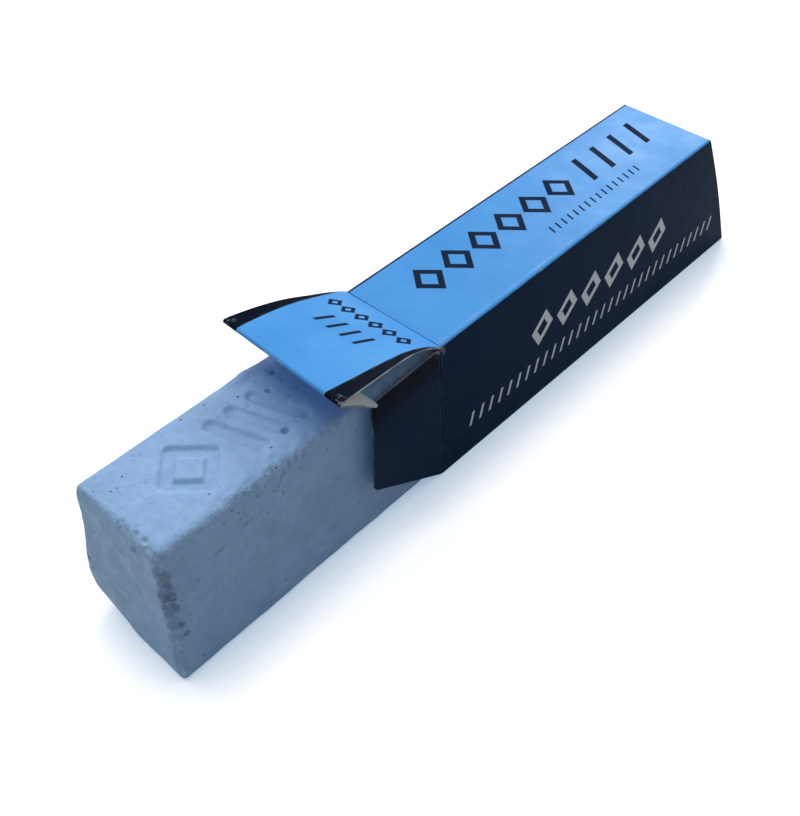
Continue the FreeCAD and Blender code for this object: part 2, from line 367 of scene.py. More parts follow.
def compound_finish():
    """Cast blue-grey compound: slow mottling, pale flecks on the rounded edges that are partly dust and
    partly painted glints, darker broken faces, pin holes, cracks, chips, pits and sunk marks darkened with
    painted shade, fine scratches, waxy grain.
    """
    f = Finish("cast_compound")
    here = f.place()
    mottle = f.between(f.cloud(here, 70.0, 4.0), 0.35, 0.65)
    colour = f.blend(mottle, shade(139, 174, 216), shade(149, 186, 228))
    fine = f.between(f.cloud(here, 520.0, 4.0, 0.7), 0.38, 0.68)
    colour = f.blend(f.times(fine, 0.30), colour, shade(124, 157, 198))

    worn = f.mark("edge_wear_and_glint")
    # Pale flecks along the rounded edges: partly dust, partly painted glints where the edges catch light.
    dust_and_glint = f.between(f.cloud(here, 420.0, 5.0, 0.7), 0.44, 0.60)
    colour = f.blend(f.times(f.times(worn, dust_and_glint), 0.50), colour, shade(182, 211, 241))
    grit = f.between(f.cloud(here, 1150.0, 3.0, 0.7), 0.54, 0.62)
    colour = f.blend(f.times(f.times(worn, grit), 0.10), colour, shade(84, 110, 146))

    # Painted shade: the pin holes are darkened as shade inside them.
    hole = pin_holes(f, here)
    colour = f.blend(f.times(hole, 0.78), colour, shade(58, 74, 102))

    broken = f.mark("chipped")
    flake = f.between(f.cloud(here, 640.0, 4.0, 0.7), 0.40, 0.62)
    # Darker, bluer tone on the broken faces, in a flaky pattern.
    broken_face_darkening = f.times(broken, f.between(flake, 0.0, 1.0, 0.12, 0.5))
    colour = f.blend(broken_face_darkening, colour, shade(116, 138, 178))
    # Painted shade: the cracks on the broken faces are darkened as shade in them.
    crack = fine_cracks(f, here, broken)
    colour = f.blend(f.times(crack, 0.62), colour, shade(60, 80, 116))

    # Painted shade: darker where chips, pits, rubbed flakes and the sunk marks go deep.
    painted_hollow_shade = f.mark("painted_hollow_shade")
    colour = f.blend(f.between(painted_hollow_shade, 0.15, 0.9, 0.0, 0.75), colour, shade(84, 106, 140))

    skewed = f.stretched(here, (900.0, 60.0, 900.0), (0.3, 0.2, 0.75))
    scratch = f.between(f.cloud(skewed, 1.0, 2.0), 0.715, 0.75)
    for line in side_scratches:
        scratch = f.most(scratch, scratch_line(f, here, *line))
    colour = f.blend(f.times(scratch, 0.42), colour, shade(88, 110, 144))

    pebble = f.cloud(here, 900.0, 3.0, 0.6)
    ripple = f.cloud(f.stretched(here, (260.0, 260.0, 420.0)), 1.0, 2.0)
    normal = f.relief(ripple, 0.0005, 0.34)
    normal = f.relief(pebble, 0.00026, 0.6, normal)
    normal = f.relief(f.minus(1.0, hole), 0.0004, 0.9, normal)
    normal = f.relief(f.times(broken, f.minus(flake, crack)), 0.00035, 0.8, normal)
    normal = f.relief(f.minus(1.0, scratch), 0.0002, 0.6, normal)
    flaky = f.times(worn, f.plus(f.cloud(here, 620.0, 4.0, 0.7), grit))
    normal = f.relief(flaky, 0.00035, 0.55, normal)
    roughness = f.between(f.cloud(here, 260.0, 3.0), 0.3, 0.7, 0.52, 0.72)
    return f.done(colour, roughness, normal, 0.38)


def row_of_marks(f, along, across, start, pitch, count, middle, height, width, stroke, slant, kind):
    """Share of print at a point for one row of plain marks: lozenge rings or slanted strokes.

    The place along the row is cut into equal cells. In a cell, a stroke is a slanted band, and a ring is the
    band between two sizes of |a| / half width + |b| / half height. Both have soft edges."""
    run = f.sums("DIVIDE", f.minus(along, start), pitch)
    inside = f.times(f.sums("GREATER_THAN", run, 0.0), f.sums("LESS_THAN", run, float(count)))
    a = f.times(f.minus(f.sums("FRACT", run), 0.5), pitch)
    b = f.minus(across, middle)
    a = f.minus(a, f.times(b, slant))
    if kind == "stroke":
        side = f.between(f.size(a), stroke / 2 - 0.08, stroke / 2 + 0.08, 1.0, 0.0)
        ends = f.between(f.size(b), height / 2 - 0.08, height / 2 + 0.08, 1.0, 0.0)
        shape = f.times(side, ends)
    else:
        reach = f.plus(f.sums("DIVIDE", f.size(a), width / 2), f.sums("DIVIDE", f.size(b), height / 2))
        band = stroke / min(width, height) * 1.3
        off = f.size(f.minus(reach, 1.0 - band))
        shape = f.between(off, band - 0.03, band + 0.03, 1.0, 0.0)
    return f.times(inside, shape)


def dark_marks(f, along, across):
    """Share of dark ink: rings, strokes and a line of small strokes on top, and two rows on the lid."""
    ink = row_of_marks(f, along, across, start=10.5, pitch=9.6, count=6, middle=2.8,
                       height=10.2, width=8.6, stroke=1.5, slant=0.0, kind="ring")
    more = row_of_marks(f, along, across, start=70.5, pitch=7.8, count=4, middle=2.8,
                        height=9.6, width=5.0, stroke=1.9, slant=0.35, kind="stroke")
    ink = f.most(ink, more)
    small = row_of_marks(f, along, across, start=47.0, pitch=2.35, count=16, middle=-6.6,
                         height=2.3, width=1.7, stroke=0.55, slant=0.3, kind="stroke")
    ink = f.most(ink, small)
    turned = row_of_marks(f, across, along, start=-12.0, pitch=4.0, count=6, middle=-8.4,
                          height=5.0, width=3.7, stroke=0.85, slant=0.0, kind="ring")
    second = row_of_marks(f, across, along, start=-7.9, pitch=3.9, count=4, middle=-16.4,
                          height=5.0, width=3.0, stroke=1.05, slant=-0.3, kind="stroke")
    return f.most(ink, f.most(turned, second))


def silver_marks(f, along, across):
    """Share of silver ink on the right wall: a row of rings over a line of strokes."""
    silver = row_of_marks(f, along, across, start=31.0, pitch=9.8, count=6, middle=-31.0,
                          height=9.6, width=8.2, stroke=1.6, slant=0.25, kind="ring")
    line = row_of_marks(f, along, across, start=8.5, pitch=3.45, count=31, middle=-42.0,
                        height=4.0, width=2.4, stroke=0.80, slant=0.3, kind="stroke")
    return f.most(silver, line)


def wear_and_painted_light(f, here, colour, pale, along, across, edge):
    """Wear over the print: pale scuffs by folds and cuts, specks and rubbed corners. Beside the top panel's
    right fold and the mouth's creases, pale lines that are partly scuff and partly painted highlight; in the
    mouth's creases a dark line of painted shade. Gives the colour and the share of scuff."""
    rubbed = f.cloud(here, 1100.0, 4.0, 0.7)
    near = f.between(edge, 0.05, 0.9, 1.0, 0.0)
    worn_place = f.between(f.cloud(here, 130.0, 2.0), 0.42, 0.66)
    near = f.times(near, worn_place)
    scuff = f.between(f.plus(f.times(near, 0.26), rubbed), 0.76, 0.84)
    colour = f.blend(f.times(scuff, 0.8), colour, pale)
    specks = f.between(f.cloud(here, 1500.0, 2.0, 0.6), 0.74, 0.78)
    colour = f.blend(f.times(specks, 0.35), colour, pale)
    # A pale line beside the top panel's right fold: partly scuff, partly painted highlight of the bend.
    pale_line_scuff_and_highlight = f.between(f.size(f.plus(across, 12.6)), 0.10, 0.40, 1.0, 0.0)
    pale_line_scuff_and_highlight = f.times(pale_line_scuff_and_highlight, f.between(f.cloud(here, 210.0, 3.0, 0.65), 0.40, 0.62, 0.05, 0.30))
    pale_line_scuff_and_highlight = f.times(pale_line_scuff_and_highlight, f.sums("GREATER_THAN", along, 0.5))
    colour = f.blend(pale_line_scuff_and_highlight, colour, pale)
    # Pale lines beside the mouth's creases on the walls: partly wear, partly painted highlights of the folds.
    off_crease = f.minus(f.size(along), 0.42)
    beside = f.between(f.size(off_crease), 0.06, 0.22, 1.0, 0.0)
    beside = f.times(beside, f.sums("GREATER_THAN", f.size(across), half + 0.3))
    beside = f.times(beside, f.between(f.cloud(here, 240.0, 3.0, 0.6), 0.42, 0.66, 0.0, 0.26))
    colour = f.blend(beside, colour, pale)
    at_mouth = f.between(f.size(along), 0.9, 1.6, 1.0, 0.0)
    off_corner = f.size(f.minus(f.size(across), half + 1.0))
    corner_wear = f.times(at_mouth, f.between(off_corner, 0.8, 1.6, 1.0, 0.0))
    corner_wear = f.times(corner_wear, f.between(f.cloud(here, 900.0, 3.0, 0.7), 0.45, 0.54))
    colour = f.blend(f.times(corner_wear, 0.8), colour, shade(206, 214, 224))
    at_front = f.between(f.size(f.plus(along, lid_fold_travel)), 1.2, 2.2, 1.0, 0.0)
    on_flare = f.between(f.size(across), half + 1.6, half + 3.4)
    lid_corner = f.times(at_front, on_flare)
    lid_corner = f.times(lid_corner, f.between(f.cloud(here, 1300.0, 3.0, 0.7), 0.53, 0.62))
    colour = f.blend(f.times(lid_corner, 0.42), colour, shade(178, 188, 200))
    # Painted shade: a dark line along the mouth's creases.
    crease = f.between(f.size(along), 0.14, 0.32, 0.9, 0.0)
    on_body = f.sums("LESS_THAN", f.size(across), half + carton_height)
    crease = f.times(crease, on_body)
    colour = f.blend(crease, colour, shade(3, 10, 22))
    return colour, scuff


def print_finish(name, specular):
    """Coated outside of the board: blue on top and lid, near-black on the sides, rows of plain marks, pale
    scuffs along the folds and cuts, pale lines by some folds that are partly painted highlight, a dark line
    of painted shade in the mouth's creases, a soft sheen and the board's faint fibre."""
    f = Finish(name)
    here = f.place()
    along, across, edge = f.parts(f.mark("sheet_place", "Vector"))
    wander = f.times(f.minus(f.cloud(here, 300.0, 2.0), 0.5), 0.25)
    from_middle = f.plus(f.size(across), wander)
    left_limit = f.between(along, -0.3, 0.3, half + 0.02, half - 0.85)
    beyond_left = f.minus(f.plus(across, wander), left_limit)
    blue_part = f.times(f.between(from_middle, half + 0.02, half + 0.14, 1.0, 0.0),
                        f.between(beyond_left, -0.06, 0.06, 1.0, 0.0))

    blue = f.blend(f.between(f.cloud(here, 45.0, 3.0), 0.35, 0.65), shade(75, 153, 225), shade(86, 163, 234))
    black = f.blend(f.between(f.cloud(here, 60.0, 3.0), 0.35, 0.65), shade(9, 36, 66), shade(15, 42, 73))
    flare = f.times(f.between(f.size(across), half + 3.6, half + 9.0, 1.0, 0.0),
                    f.sums("LESS_THAN", along, 0.0))
    black = f.blend(flare, black, shade(9, 19, 34))

    ink = dark_marks(f, along, across)
    blue = f.blend(f.times(ink, 0.98), blue, shade(8, 22, 50))

    silver = silver_marks(f, along, across)
    black = f.blend(f.times(silver, 0.97), black, shade(226, 232, 242))

    colour = f.blend(blue_part, black, blue)
    pale = f.blend(blue_part, shade(120, 126, 134), shade(170, 205, 242))
    colour, scuff = wear_and_painted_light(f, here, colour, pale, along, across, edge)

    fibre = f.cloud(f.stretched(here, (500.0, 1600.0, 1600.0)), 1.0, 4.0, 0.6)
    slow = f.cloud(here, 60.0, 2.0)
    normal = f.relief(slow, 0.0009, 0.35)
    normal = f.relief(fibre, 0.00006, 0.35, normal)
    normal = f.relief(f.minus(1.0, scuff), 0.00012, 0.5, normal)
    roughness = f.plus(f.between(f.cloud(here, 120.0, 3.0), 0.3, 0.7, 0.30, 0.40),
                       f.times(f.most(scuff, ink), 0.35))
    return f.done(colour, roughness, normal, specular)


def bare_finish():
    """Uncoated inside of the board: warm grey-white with darker and paler fibres."""
    f = Finish("bare_board")
    here = f.place()
    tint = f.between(f.cloud(here, 90.0, 3.0), 0.35, 0.65)
    colour = f.blend(tint, shade(230, 234, 234), shade(240, 242, 240))
    flecks = f.cloud(f.stretched(here, (900.0, 3000.0, 3000.0)), 1.0, 4.0, 0.7)
    colour = f.blend(f.between(flecks, 0.52, 0.72, 0.0, 0.35), colour, shade(196, 200, 200))
    normal = f.relief(flecks, 0.00012, 0.5)
    roughness = f.between(f.cloud(here, 300.0, 2.0), 0.3, 0.7, 0.78, 0.92)
    return f.done(colour, roughness, normal, 0.25)


def cut_finish(name, clean, soiled):
    """Die-cut edge of the board: grey plies, soiled in places."""
    f = Finish(name)
    here = f.place()
    soil = f.between(f.cloud(here, 95.0, 3.0, 0.6), 0.40, 0.62)
    colour = f.blend(soil, clean, soiled)
    plies = f.cloud(f.stretched(here, (600.0, 2600.0, 7000.0)), 1.0, 2.0)
    normal = f.relief(plies, 0.00008, 0.6)
    roughness = f.between(plies, 0.3, 0.7, 0.8, 0.95)
    return f.done(colour, roughness, normal, 0.2)


def bar_block():
    """Grids on the six faces of the bar's unrounded block, measured from its middle, with shared edge points
    joined. Along the bar they are fine where it shows and coarser inside the carton."""
    reach = np.array([bar_length, bar_width, bar_height]) / 2
    shown = bar_shown - reach[0]
    hidden = steps(shown, reach[0], bar_grain_hidden)[1:]
    along = np.concatenate([steps(-reach[0], shown, bar_grain), hidden])
    lines = [along, steps(-reach[1], reach[1], bar_grain), steps(-reach[2], reach[2], bar_grain)]
    points, faces, count = [], [], 0
    for axis in range(3):
        u, v = (axis + 1) % 3, (axis + 2) % 3
        for side in (-1, 1):
            grid = np.empty((len(lines[u]), len(lines[v]), 3))
            grid[..., axis] = side * reach[axis]
            grid[..., u] = lines[u][:, None]
            grid[..., v] = lines[v][None, :]
            quads = lattice(len(lines[u]), len(lines[v]), count)
            faces.append(quads if side > 0 else quads[:, ::-1])
            points.append(grid.reshape(-1, 3))
            count += len(points[-1])
    every = np.concatenate(points)
    _, keep, place = np.unique(np.round(every, 5), axis=0, return_index=True, return_inverse=True)
    return every[keep], place.reshape(-1)[np.concatenate(faces)], reach


def segment_distance(points, start, end):
    """Distance in plan from each point to a straight stroke between two ends."""
    start, end = np.array(start), np.array(end)
    way = end - start
    share = np.clip(((points[:, :2] - start) @ way) / (way @ way), 0.0, 1.0)
    return np.linalg.norm(points[:, :2] - start - share[:, None] * way, axis=1)


def sunk_marks(points):
    """Depth of the marks in the bar's top: the nearest distance to any mark's centre line, turned into a
    groove with a flat floor and soft walls."""
    nearest = np.full(len(points), 99.0)
    side = math.hypot(lozenge_length, lozenge_width)
    share = 1.0 - mark_width * side / (lozenge_length * lozenge_width)
    a, b = lozenge_length / 2 * share, lozenge_width / 2 * share
    corners = [(-lozenge_out - a, 0.0), (-lozenge_out, -b), (-lozenge_out + a, 0.0), (-lozenge_out, b)]
    for i in range(4):
        nearest = np.minimum(nearest, segment_distance(points, corners[i - 1], corners[i]))
    run = (stroke_length - mark_width) / 2
    for i in range(stroke_count):
        x = -stroke_out - i * stroke_pitch
        dx, dy = -run * math.sin(stroke_slant), run * math.cos(stroke_slant)
        nearest = np.minimum(nearest, segment_distance(points, (x - dx, -dy), (x + dx, dy)))
    return mark_depth * soft_step((mark_width / 2 - nearest) / mark_wall + 0.5)


def scoop(points, middle, radius):
    """A shell-shaped chip: points inside a ball are pushed straight out onto its surface."""
    away = points - middle
    size = np.linalg.norm(away, axis=1)
    inside = size < radius
    moved = points.copy()
    moved[inside] = middle + away[inside] / np.maximum(size[inside], 1e-6)[:, None] * radius
    return moved, np.where(inside, radius - size, 0.0)


def broken_off(points, through, normal, roughness, seed):
    """A broken facet: points beyond a plane are brought back to it, short by some unevenness."""
    normal = np.array(normal) / np.linalg.norm(normal)
    beyond = (points - through) @ normal
    rough = roughness * (unevenness(points, 2.6, seed) + 0.5 * unevenness(points, 1.0, seed + 1))
    move = np.maximum(beyond - np.minimum(rough, 0.0), 0.0)
    return points - move[:, None] * normal, move


def corner_facet(foot):
    """Plane of the broken lower corner at the free end, through points up, across and back from it."""
    first = foot + np.array([-broken_forward, 0.0, broken_up])
    second = foot - np.array([0.0, broken_across, 0.0])
    third = foot + np.array([broken_back, 0.0, 0.0])
    normal = np.cross(second - first, third - first)
    return first, normal if normal @ (foot - first) > 0 else -normal


def bar_form():
    """The bar's drafted block with rounded edges, the way out at each point, and its share of rounded edge.

    A point of the block is drawn towards the nearest point of an inner core and set the edge rounding's
    radius away from it. Both horizontal sizes then shrink in a straight line with height."""
    block, faces, reach = bar_block()
    leftness = soft_step(block[:, 1] / bar_width + 0.5)
    height = block[:, 2] / bar_height + 0.5
    upright = upright_round_right + (upright_round_left - upright_round_right) * leftness
    upright += (upright_round_foot - upright) * soft_step(1 - height / 0.35) * (1 - leftness)
    top_round = top_round_right + (top_round_left - top_round_right) * leftness
    radii = np.stack([upright, upright, np.where(block[:, 2] > 0, top_round, foot_round)], axis=1)
    core = np.clip(block, -reach + radii, reach - radii)
    off = (block - core) / radii
    off /= np.linalg.norm(off, axis=1)[:, None]
    points = core + off * radii
    outward = off / radii
    outward /= np.linalg.norm(outward, axis=1)[:, None]

    height = (points[:, 2] + reach[2]) / bar_height
    points[:, 0] *= 1 - bar_end_draft / reach[0] * height
    points[:, 1] *= 1 - bar_side_draft / reach[1] * height
    points += np.array([reach[0] - bar_out, 0.0, bar_foot + reach[2]])

    # The free part is cast a little fuller on the left, and its lower left corner stands out.
    free = soft_step((-8.0 - points[:, 0]) / 24.0)
    points[:, 1] += 0.45 * free * soft_step(points[:, 1] / 6.0) * soft_step((points[:, 2] - 1.0) / 6.0)
    corner = np.exp(-((points[:, 2] - 14.0) / 8.5) ** 2) * soft_step((points[:, 1] + 1.0) / 14.0)
    corner *= soft_step((-60.0 - points[:, 0]) / 13.0)
    points[:, 0] -= 0.95 * corner
    points[:, 1] += 0.60 * corner

    off_flat = 1.0 - np.max(np.abs(outward), axis=1)
    edge = soft_step(off_flat / 0.22)
    return points, faces, outward, edge


def cast_skin(points, outward, edge):
    """Casting unevenness: slow and fine swells all over, rougher where the photo shows worn edges."""
    swell = 0.13 * unevenness(points, 17.0, 3) + 0.06 * unevenness(points, 6.5, 5)
    swell += 0.030 * unevenness(points, 2.3, 7) + edge * 0.10 * unevenness(points, 2.2, 11)
    rough_band = soft_step((points[:, 0] + 62.0) / 8.0) * soft_step((-26.0 - points[:, 0]) / 8.0)
    right_top = soft_step((-8.5 - points[:, 1]) / 2.0) * soft_step((points[:, 2] - 33.5) / 2.0)
    swell += rough_band * right_top * (0.24 * unevenness(points, 1.2, 13) - 0.12)
    front_top = soft_step((-69.5 - points[:, 0]) / 2.0) * soft_step((points[:, 2] - 32.5) / 2.5) * edge
    swell += front_top * (0.17 * unevenness(points, 1.1, 15) - 0.05)
    front_left = soft_step((-70.5 - points[:, 0]) / 2.0) * soft_step((points[:, 1] - 9.0) / 3.0)
    swell += front_left * 0.10 * unevenness(points, 2.0, 17)
    left_top = soft_step((points[:, 1] - 9.5) / 2.0) * soft_step((points[:, 2] - 32.5) / 2.0)
    swell += left_top * 0.42 * np.exp(-((points[:, 0] + 31.5) / 2.6) ** 2)
    swell = np.where(points[:, 2] < bar_foot + 0.2, 0.0, swell)
    return points + outward * swell[:, None]


def knocked_edge(points, painted_hollow_shade, chipped, draw):
    """The upright edge at the free end's right side is knocked to a narrow uneven facet, with chips in it.

    A chip is its height, how far it lies aside of the edge, its radius and its depth."""
    edge_foot = np.array([-bar_out, -bar_width / 2, bar_foot])
    edge_way = np.array([bar_end_draft, bar_side_draft, bar_height])
    edge_out = np.cross(edge_way, np.array([1.0, -1.0, 0.0]))
    edge_out *= -np.sign(edge_out[0]) / np.linalg.norm(edge_out)
    knocked, gone = broken_off(points, edge_foot - edge_out * knocked_depth, edge_out, 0.42, 33)
    spread = soft_step((points[:, 2] - 1.2) / 3.0) * soft_step((34.2 - points[:, 2]) / 2.5)
    points = points + (knocked - points) * spread[:, None]
    chipped = np.maximum(chipped, soft_step(gone / 0.25) * spread * np.where(points[:, 2] > 15.0, 0.8, 0.3))
    chips = [(32.4, -0.6, 4.4, 0.62), (28.6, 0.9, 1.6, 0.60), (25.4, -0.1, 3.6, 1.10),
             (22.0, -1.2, 1.2, 0.80), (21.8, 0.7, 1.6, 1.20), (20.0, -0.5, 0.9, 0.80),
             (17.6, 0.8, 2.4, 0.85), (16.3, -1.2, 1.1, 0.70), (13.4, 0.9, 1.4, 0.60),
             (9.6, -0.4, 3.2, 0.62), (6.6, 0.4, 2.2, 0.58)]
    for _ in range(12):
        chips.append((draw.uniform(16.0, 33.0), draw.uniform(-2.0, 2.0), draw.uniform(0.5, 1.1), 0.45))
    for z, aside, radius, depth in chips:
        share = (z - bar_foot) / bar_height
        apex = edge_foot + edge_way * share
        rounding = upright_round_foot + (upright_round_right - upright_round_foot) * min(1.0, share / 0.35)
        apex += rounding * (1 - math.sqrt(0.5)) * np.array([1.0, 1.0, 0.0])
        out = np.array([-1.0, -1.0, 0.0]) / math.sqrt(2)
        along_face = np.array([1.0, -1.0, 0.0]) / math.sqrt(2)
        middle = apex + out * (radius - depth) + along_face * aside
        points, deep = scoop(points, middle, radius)
        painted_hollow_shade = np.maximum(painted_hollow_shade, np.maximum(deep - 0.25, 0.0) * 0.8)
        chipped = np.maximum(chipped, soft_step(deep / 0.3) * (0.8 if z > 15.5 else 0.35))
    return points, painted_hollow_shade, chipped


def single_pits(points, painted_hollow_shade, draw):
    """Open pits left by bubbles: x, y, z, radius, and how much of it sinks below the face."""
    pits = [(-71.3, -12.75, 13.2, 0.9, 1.0), (-71.5, -12.7, 16.3, 0.75, 0.9), (-71.5, -12.6, 27.6, 0.8, 0.4),
            (-70.2, -12.6, 26.9, 0.7, 0.4), (-67.0, -12.5, 28.9, 0.6, 0.4), (-65.5, -12.6, 25.2, 0.6, 0.4),
            (-61.5, -12.9, 18.7, 0.55, 0.4), (-69.8, -13.2, 7.2, 0.6, 0.5), (-24.6, -13.1, 10.2, 0.7, 0.6),
            (-72.9, -5.3, 33.9, 0.9, 0.6), (-72.8, -4.6, 33.3, 0.7, 0.5), (-72.9, 4.6, 33.3, 0.7, 0.5),
            (-73.7, 12.4, 17.0, 0.9, 0.5), (-73.8, 11.9, 14.5, 0.8, 0.5), (-73.6, 11.2, 20.0, 0.6, 0.5),
            (-36.2, -5.7, 37.2, 0.9, 0.8), (-27.1, 7.6, 37.2, 0.8, 0.8), (-31.2, 4.4, 37.2, 0.8, 0.7),
            (-71.2, -7.4, 37.2, 0.8, 0.45), (-71.0, -4.8, 37.2, 0.7, 0.6), (-70.1, -4.2, 37.2, 0.6, 0.5),
            (-71.0, -0.7, 37.2, 0.6, 0.5), (-62.7, 3.1, 37.2, 0.55, 0.6), (-63.4, 4.0, 37.2, 0.5, 0.5),
            (-60.4, 10.4, 37.2, 0.55, 0.5), (-59.2, 9.3, 37.2, 0.6, 0.5), (-64.4, 11.4, 37.2, 0.55, 0.5)]
    for _ in range(26):
        pits.append((draw.uniform(-44, -24), draw.uniform(-8, 9), 37.2, draw.uniform(0.4, 0.65), 0.5))
    for _ in range(9):
        pits.append((draw.uniform(-70, -30), draw.choice([-12.9, 12.9]), draw.uniform(4, 34), 0.55, 0.4))
    for x, y, z, radius, sink in pits:
        centre = np.array([x, y, z])
        nearest = points[np.argmin(np.sum((points - centre) ** 2, axis=1))]
        face = np.array([0.0, 0.0, 1.0]) if z > 36 else np.array([0.0, np.sign(y), 0.0])
        if x < -72.5:
            face = np.array([-1.0, 0.0, 0.0])
        points, deep = scoop(points, nearest + face * radius * (1 - sink), radius)
        painted_hollow_shade = np.maximum(painted_hollow_shade, deep * 1.3)
    return points, painted_hollow_shade


def rubbed_top_edge(points, painted_hollow_shade, chipped, draw):
    """Flakes rubbed off the top edge on the right."""
    for _ in range(16):
        centre = np.array([draw.uniform(-60, -33), -12.0, 36.4]) + draw.uniform(-0.4, 0.4, 3)
        radius = draw.uniform(0.9, 1.8)
        points, deep = scoop(points, centre + np.array([0.0, -0.71, 0.71]) * (radius - 0.12), radius)
        painted_hollow_shade = np.maximum(painted_hollow_shade, deep * 0.35)
        chipped = np.maximum(chipped, soft_step(deep / 0.2) * 0.4)
    return points, painted_hollow_shade, chipped


def bar_surface():
    """The bar's points, faces and marks: its form and skin, then marks, broken corner, chips and pits."""
    points, faces, outward, edge = bar_form()
    points = cast_skin(points, outward, edge)
    top = soft_step((outward[:, 2] - 0.6) / 0.3)
    sunk = sunk_marks(points) * top
    points[:, 2] -= sunk

    through, normal = corner_facet(np.array([-bar_out, bar_width / 2, bar_foot]))
    points, gone = broken_off(points, through, normal, 0.35, 21)
    chipped = soft_step(gone / 0.3) * 0.6
    # The depth of chips, pits and sunk marks is kept to paint shade into them.
    painted_hollow_shade = np.zeros(len(points))
    draw = np.random.default_rng(41)
    points, painted_hollow_shade, chipped = knocked_edge(points, painted_hollow_shade, chipped, draw)
    points, painted_hollow_shade = single_pits(points, painted_hollow_shade, draw)
    points, painted_hollow_shade, chipped = rubbed_top_edge(points, painted_hollow_shade, chipped, draw)
    painted_hollow_shade = np.maximum(painted_hollow_shade, soft_step((sunk - 0.15) / 0.6) * 0.22)

    c, s = math.cos(bar_yaw), math.sin(bar_yaw)
    turn = np.array([[c, -s, 0.0], [s, c, 0.0], [0.0, 0.0, 1.0]])
    points = points @ turn.T + np.array([0.0, bar_side_shift, 0.0])
    points[:, 2] = np.maximum(points[:, 2], bar_foot)
    return points, faces, {"edge_wear_and_glint": edge, "painted_hollow_shade": painted_hollow_shade, "chipped": chipped}


def make_bar():
    points, faces, marks = bar_surface()
    piece = make_mesh("compound_bar_cast", points, faces, marks, [compound_finish()])
    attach(piece, "root")
    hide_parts("compound_bar")
    return piece


def end_x(y, z):
    """X of the closed end, which leans out towards its foot and is a little out of square."""
    return carton_length + end_skew * y / carton_width + end_lean * (1 - z / carton_height)


def left_y(z):
    """Outside of the left wall, which leans out towards its foot."""
    return half + left_spread * (1 - z / carton_height)


def right_y(x, z):
    """Outside of the right wall, whose foot leans out further towards the closed end."""
    run = np.clip(x / carton_length, 0.0, 1.0)
    return -half - (right_spread + right_end_spread * run) * (1 - z / carton_height)


def slab(name, outside, inside, along, across, edge, finishes):
    """A sheet of board from its outer and inner grids: both faces and the four cut edges between them, each
    with its own finish. The outside's place on the flat sheet goes into an attribute for the print."""
    rows, columns = outside.shape[:2]
    count = rows * columns
    points = np.concatenate([outside.reshape(-1, 3), inside.reshape(-1, 3)])
    outer = lattice(rows, columns)
    inner = lattice(rows, columns, count)[:, ::-1]
    index = np.arange(count).reshape(rows, columns)
    rim = np.concatenate([index[:, 0], index[-1, 1:], index[::-1, -1][1:], index[0, ::-1][1:-1]])
    ahead = np.roll(rim, -1)
    band = np.stack([ahead, rim, rim + count, ahead + count], axis=1)
    faces = np.concatenate([outer, inner, band])

    u = outside[1:, :-1] - outside[:-1, :-1]
    v = outside[:-1, 1:] - outside[:-1, :-1]
    toward = outside[:-1, :-1] - inside[:-1, :-1]
    if np.sum(np.cross(u, v) * toward) < 0:
        faces = faces[:, ::-1]

    kinds = np.repeat([0, 1, 2], [len(outer), len(inner), len(band)])
    kinds[:len(outer)] = np.where(np.abs(across[:-1, :-1] + across[1:, 1:]) / 2 > half + 0.35, 3, 0).ravel()
    place = np.stack([along, across, edge], axis=-1).reshape(-1, 3)
    piece = make_mesh(name, points, faces, {"sheet_place": np.concatenate([place, place])}, finishes, kinds)
    sharp = piece.data.attributes.new("sharp_edge", "BOOLEAN", "EDGE")
    ends = np.empty(len(piece.data.edges) * 2, dtype=np.int32)
    piece.data.edges.foreach_get("vertices", ends)
    ends = ends.reshape(-1, 2)
    on_rim = np.zeros(2 * count, dtype=bool)
    on_rim[rim] = True
    on_rim[rim + count] = True
    same_side = (ends[:, 0] < count) == (ends[:, 1] < count)
    sharp.data.foreach_set("value", on_rim[ends[:, 0]] & on_rim[ends[:, 1]] & same_side)
    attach(piece, "root")
    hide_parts("carton")
    return piece


def creased_line(corners, radius, counts, arc=5):
    """A line through corners with each fold rounded: straight runs cut short by radius times the tangent of
    half the turn, and arcs between. Gives the points and their outward normals, to the left of the way."""
    corners = np.array(corners, dtype=float)
    ways = np.diff(corners, axis=0)
    ways /= np.linalg.norm(ways, axis=1)[:, None]
    normals = np.stack([-ways[:, 1], ways[:, 0]], axis=1)
    points, facing = [], []
    start = corners[0]
    for i in range(len(ways)):
        end = corners[i + 1]
        if i + 1 < len(ways):
            before, after = ways[i], ways[i + 1]
            turn = math.atan2(before[0] * after[1] - before[1] * after[0], before @ after)
            end = end - ways[i] * radius * math.tan(abs(turn) / 2)
        share = np.linspace(0.0, 1.0, counts[i])[:, None]
        points.append(start + (end - start) * share)
        facing.append(np.repeat(normals[i][None], counts[i], axis=0))
        if i + 1 < len(ways):
            side = -1.0 if turn < 0 else 1.0
            centre = end + side * normals[i] * radius
            angles = np.linspace(0.0, turn, arc)[1:-1, None]
            spun = np.cos(angles) * normals[i] + np.sin(angles) * np.array([-normals[i][1], normals[i][0]])
            points.append(centre - side * spun * radius)
            facing.append(spun)
            start = centre - side * normals[i + 1] * radius
    return np.concatenate(points), np.concatenate(facing)


def girth(run):
    """Section of the sleeve as (y, z): glued flap in the left wall, bottom, right wall, top, left wall."""
    x = run * carton_length
    inner = board + board_gap
    corners = [(left_y(seam_height) - inner, seam_height), (left_y(0.0) - inner, 0.0),
               (right_y(x, 0.0), 0.0), (-half, carton_height), (half, carton_height), (left_y(0.06), 0.06)]
    return creased_line(corners, crease_round, [10, 24, 34, 26, 34])


